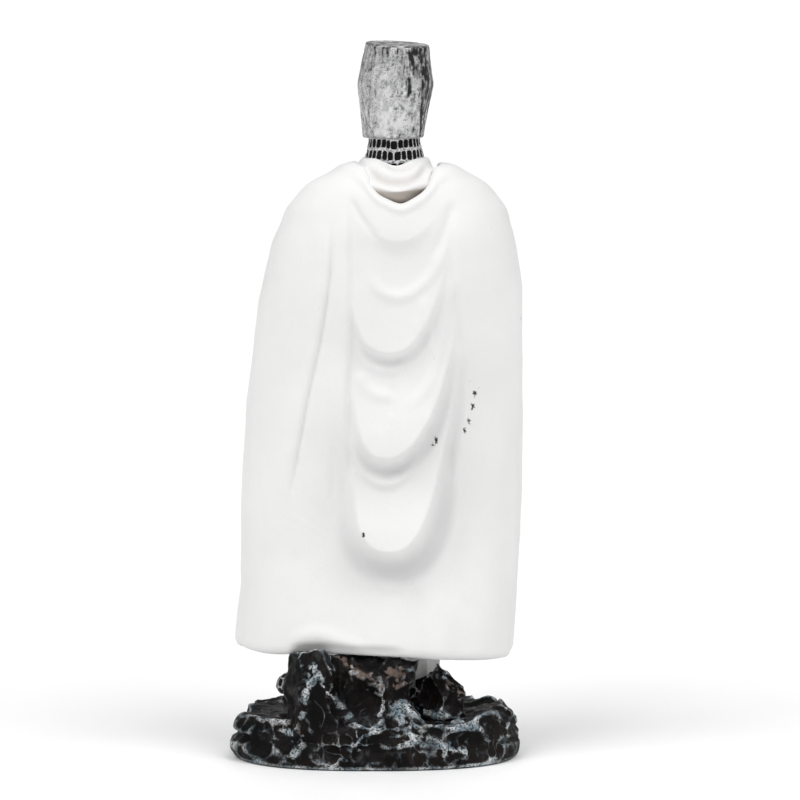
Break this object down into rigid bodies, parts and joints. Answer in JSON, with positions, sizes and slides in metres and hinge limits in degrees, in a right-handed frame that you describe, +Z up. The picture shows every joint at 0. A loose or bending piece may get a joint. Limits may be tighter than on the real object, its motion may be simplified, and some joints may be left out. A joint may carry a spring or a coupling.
{
  "type": "painted miniature figure",
  "caption": "Painted resin figure of a standing knight in a flat-topped helm and a long cloak, hands on a grounded sword, on an oval rock base with a felted underside.",
  "frame": {"origin": "on the table, under the middle of the rock base", "axes": "+Z up, -Y the way the knight faces, +X towards the knight's left hand"},
  "size_m": [0.0411, 0.031, 0.1],
  "materials": {
    "white_paint": "matte white paint over cast resin, grey wash in the folds",
    "steel_paint": "silver paint with black wash and brush streaks over cast resin",
    "mail_paint": "black paint dry-brushed silver on the mail links",
    "rock_paint": "satin black-brown paint dry-brushed pale blue-grey on the edges",
    "leather_paint": "satin brown paint with worn edges",
    "gilt_paint": "old gold paint with dark wash in the recesses",
    "pin_brass": "bare drawn wire",
    "weight_steel": "turned disc",
    "felt": "pressed black felt"
  },
  "bodies": {
    "root": {"rock_base": "rock_paint", "rear_boulder": "rock_paint", "side_outcrop": "rock_paint", "base_weight": "weight_steel", "felt_pad": "felt", "foot_pins": "pin_brass", "left_leg": "mail_paint", "right_leg": "mail_paint", "leg_pins": "pin_brass", "mail_skirt": "mail_paint", "surcoat_skirt": "white_paint", "waist_pin": "pin_brass", "surcoat_torso": "white_paint", "belt": "leather_paint", "belt_buckle": "gilt_paint", "belt_tail": "leather_paint", "scabbard": "leather_paint", "scabbard_straps": "gilt_paint", "left_arm": "mail_paint", "right_arm": "mail_paint", "shoulder_pins": "pin_brass", "left_hand": "mail_paint", "right_hand": "mail_paint", "wrist_pins": "pin_brass", "sword_blade": "steel_paint", "sword_hilt": "gilt_paint", "mail_coif": "mail_paint", "neck_pin": "pin_brass", "great_helm": "steel_paint", "cowl": "white_paint", "cloak": "white_paint", "cloak_pins": "pin_brass", "cloak_cord": "gilt_paint", "brooches": "gilt_paint"}
  },
  "joints": []
}
